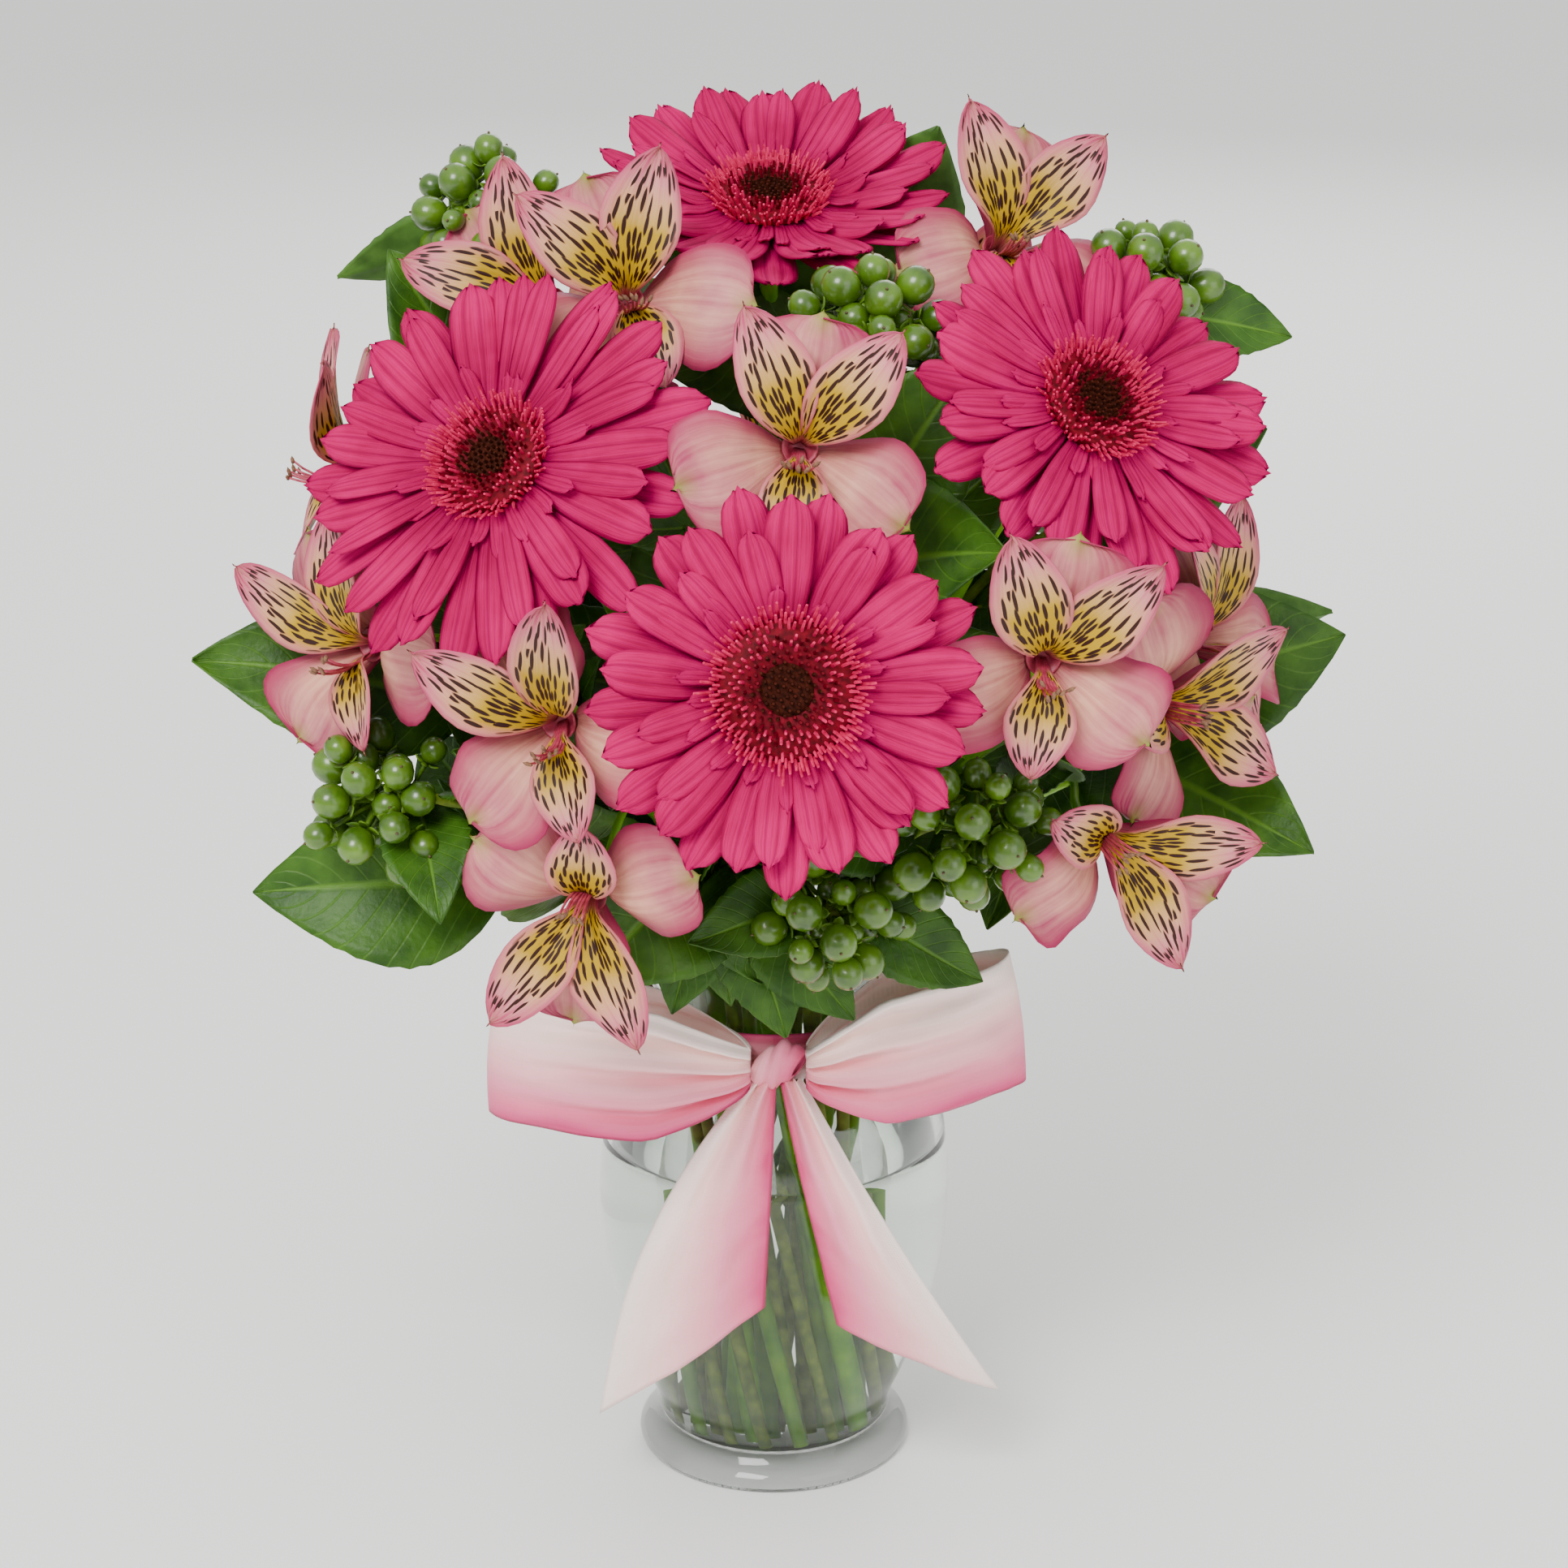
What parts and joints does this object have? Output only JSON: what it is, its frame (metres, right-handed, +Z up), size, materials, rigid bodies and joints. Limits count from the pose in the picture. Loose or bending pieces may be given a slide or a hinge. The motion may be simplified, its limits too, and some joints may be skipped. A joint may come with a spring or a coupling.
{
  "type": "cut flowers in a vase",
  "caption": "Hot pink gerberas with pale pink alstroemeria, green hypericum berries and salal leaves in a clear glass vase of water, tied with a pink and white ribbon bow.",
  "frame": {"origin": "centre of the vase's flat base, on the surface it stands on", "axes": "+Z up along the vase's axis, -Y towards the front of the bouquet and the bow, +X to the right as seen from the front"},
  "size_m": [0.3493, 0.3083, 0.4326],
  "materials": {
    "glass": "gloss",
    "water": "gloss",
    "petal": "satin",
    "disc": "matte",
    "gerbera_stem": "satin",
    "alstroemeria": "satin",
    "alstroemeria_stem": "satin",
    "hypericum": "satin",
    "salal": "satin",
    "ribbon": "satin"
  },
  "bodies": {
    "root": {"alstroemeria_1": "alstroemeria", "alstroemeria_10": "alstroemeria", "alstroemeria_11": "alstroemeria", "alstroemeria_12": "alstroemeria", "alstroemeria_13": "alstroemeria", "alstroemeria_14": "alstroemeria", "alstroemeria_15": "alstroemeria", "alstroemeria_2": "alstroemeria", "alstroemeria_3": "alstroemeria", "alstroemeria_4": "alstroemeria", "alstroemeria_5": "alstroemeria", "alstroemeria_6": "alstroemeria", "alstroemeria_7": "alstroemeria", "alstroemeria_8": "alstroemeria", "alstroemeria_9": "alstroemeria", "alstroemeria_stem_1": "alstroemeria_stem", "alstroemeria_stem_2": "alstroemeria_stem", "alstroemeria_stem_3": "alstroemeria_stem", "alstroemeria_stem_4": "alstroemeria_stem", "alstroemeria_stem_5": "alstroemeria_stem", "alstroemeria_stem_6": "alstroemeria_stem", "alstroemeria_stem_7": "alstroemeria_stem", "alstroemeria_stem_8": "alstroemeria_stem", "gerbera_1_disc": "disc", "gerbera_1_petals": "petal", "gerbera_1_stem": "gerbera_stem", "gerbera_2_disc": "disc", "gerbera_2_petals": "petal", "gerbera_2_stem": "gerbera_stem", "gerbera_3_disc": "disc", "gerbera_3_petals": "petal", "gerbera_3_stem": "gerbera_stem", "gerbera_4_disc": "disc", "gerbera_4_petals": "petal", "gerbera_4_stem": "gerbera_stem", "hypericum_1": "hypericum", "hypericum_2": "hypericum", "hypericum_3": "hypericum", "hypericum_4": "hypericum", "hypericum_5": "hypericum", "hypericum_6": "hypericum", "hypericum_7": "hypericum", "ribbon_band": "ribbon", "ribbon_knot": "ribbon", "ribbon_loop_left": "ribbon", "ribbon_loop_right": "ribbon", "ribbon_tail_left": "ribbon", "ribbon_tail_right": "ribbon", "salal_1": "salal", "salal_10": "salal", "salal_2": "salal", "salal_3": "salal", "salal_4": "salal", "salal_5": "salal", "salal_6": "salal", "salal_7": "salal", "salal_8": "salal", "salal_9": "salal", "vase": "glass", "water": "water"}
  },
  "joints": []
}
